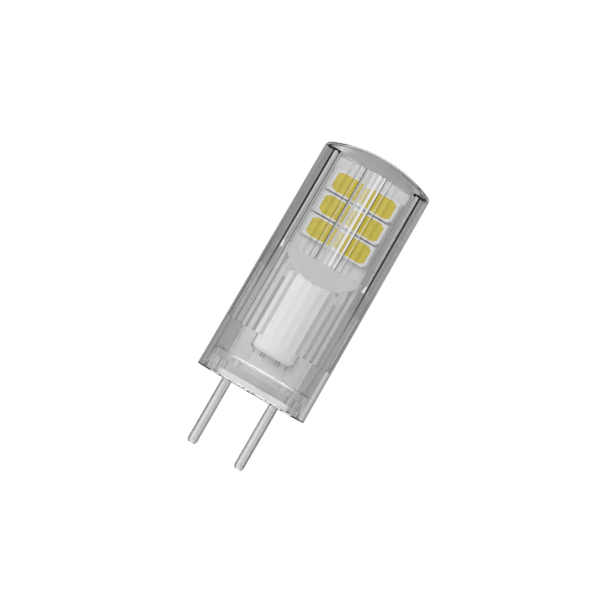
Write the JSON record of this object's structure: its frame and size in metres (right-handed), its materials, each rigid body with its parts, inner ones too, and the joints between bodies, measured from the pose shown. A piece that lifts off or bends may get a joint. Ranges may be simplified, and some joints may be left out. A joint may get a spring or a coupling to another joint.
{
  "type": "led capsule bulb",
  "caption": "Slim clear two-pin capsule lamp: an arched, inside-fluted solid cover round two upright LED boards, with the driver and capacitor below, and straight pins.",
  "frame": {"origin": "centre of the body's flat bottom rim, midway between the two pins, where the body meets the lampholder", "axes": "+Z along the lamp's axis towards the crown, with the pins pointing to -Z; X runs through both pins; the LED boards stand parallel to the XZ plane and face -Y and +Y"},
  "size_m": [0.0144, 0.0144, 0.0404],
  "materials": {
    "clear_cover": "clear polished moulding",
    "clear_inner": "clear moulding",
    "pin_metal": "tinned, satin",
    "spacer_white": "white moulded",
    "board_white": "white solder mask",
    "spreader_aluminium": "mill finish",
    "solder": "solder",
    "led_housing": "white moulded",
    "phosphor": "yellow silicone gel",
    "capacitor_aluminium": "drawn can",
    "capacitor_sleeve": "white shrink sleeve",
    "black_rubber": "moulded",
    "tinned_metal": "tinned",
    "chip_black": "moulded epoxy",
    "inductor_grey": "pressed powder",
    "resistor_black": "glazed film",
    "ceramic_tan": "fired ceramic"
  },
  "bodies": {
    "root": {"base_plug": "clear_inner", "bridge_legs": "tinned_metal", "bridge_rectifier": "chip_black", "capacitor_bung": "black_rubber", "capacitor_can": "capacitor_aluminium", "capacitor_leads": "tinned_metal", "capacitor_sleeve": "capacitor_sleeve", "ceramic_capacitors": "ceramic_tan", "cover": "clear_cover", "driver_board": "board_white", "driver_chip": "chip_black", "driver_chip_legs": "tinned_metal", "end_caps": "tinned_metal", "heat_spreader": "spreader_aluminium", "inductor": "inductor_grey", "inductor_terminals": "tinned_metal", "led_back_left_1": "led_housing", "led_back_left_2": "led_housing", "led_back_left_3": "led_housing", "led_back_right_1": "led_housing", "led_back_right_2": "led_housing", "led_back_right_3": "led_housing", "led_board_back": "board_white", "led_board_front": "board_white", "led_front_left_1": "led_housing", "led_front_left_2": "led_housing", "led_front_left_3": "led_housing", "led_front_right_1": "led_housing", "led_front_right_2": "led_housing", "led_front_right_3": "led_housing", "led_pads_back": "solder", "led_pads_front": "solder", "phosphor_back_left_1": "phosphor", "phosphor_back_left_2": "phosphor", "phosphor_back_left_3": "phosphor", "phosphor_back_right_1": "phosphor", "phosphor_back_right_2": "phosphor", "phosphor_back_right_3": "phosphor", "phosphor_front_left_1": "phosphor", "phosphor_front_left_2": "phosphor", "phosphor_front_left_3": "phosphor", "phosphor_front_right_1": "phosphor", "phosphor_front_right_2": "phosphor", "phosphor_front_right_3": "phosphor", "pin_left": "pin_metal", "pin_right": "pin_metal", "pin_solder_left": "solder", "pin_solder_right": "solder", "pin_spacer": "spacer_white", "resistors": "resistor_black"}
  },
  "joints": []
}
